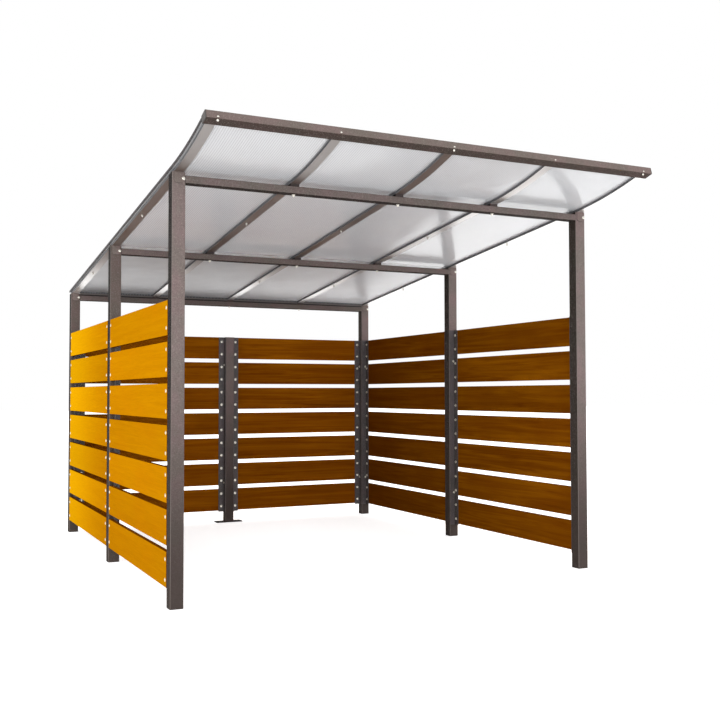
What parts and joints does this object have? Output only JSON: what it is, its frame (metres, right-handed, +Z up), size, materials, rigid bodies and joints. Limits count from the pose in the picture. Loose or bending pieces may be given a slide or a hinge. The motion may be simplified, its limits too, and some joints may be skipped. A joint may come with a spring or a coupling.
{
  "type": "bin shelter",
  "caption": "Open-fronted steel post shelter with slatted timber side and back panels and a sloping translucent roof that sweeps up at the front.",
  "frame": {"origin": "centre of the footprint, at ground level", "axes": "+Z up, front (open side, high roof edge) towards -Y, left side panels on -X"},
  "size_m": [2.608, 3.6772, 2.3473],
  "materials": {
    "painted_steel": "satin",
    "dark_trim": "satin",
    "timber": "matte",
    "roof_sheet": "gloss",
    "plastic_caps": "matte"
  },
  "bodies": {
    "root": {"post_front_left": "painted_steel", "post_front_right": "painted_steel", "post_mid_left": "painted_steel", "post_mid_right": "painted_steel", "post_back_left": "painted_steel", "post_back_right": "painted_steel", "post_back_centre": "painted_steel", "foot_plate_back": "painted_steel", "beam_front": "painted_steel", "beam_mid": "painted_steel", "beam_back": "painted_steel", "front_edge_tube": "painted_steel", "edge_tube_caps": "plastic_caps", "rafter_left": "painted_steel", "rafter_inner_left": "painted_steel", "rafter_centre": "painted_steel", "rafter_inner_right": "painted_steel", "rafter_right": "painted_steel", "roof_sheet_left": "roof_sheet", "roof_sheet_inner_left": "roof_sheet", "roof_sheet_inner_right": "roof_sheet", "roof_sheet_right": "roof_sheet", "clamp_strip_left": "dark_trim", "clamp_strip_inner_left": "dark_trim", "clamp_strip_centre": "dark_trim", "clamp_strip_inner_right": "dark_trim", "clamp_strip_right": "dark_trim", "eaves_strips_back": "painted_steel", "rafter_brackets_front": "dark_trim", "rafter_brackets_mid": "dark_trim", "rafter_brackets_back": "dark_trim", "panel_left_front": "timber", "panel_left_back": "timber", "panel_right_front": "timber", "panel_right_back": "timber", "panel_back_left": "timber", "panel_back_right": "timber", "angles_left_front": "painted_steel", "angles_left_back": "painted_steel", "angles_right_front": "painted_steel", "angles_right_back": "painted_steel", "angles_back_left": "painted_steel", "angles_back_right": "painted_steel"}
  },
  "joints": []
}
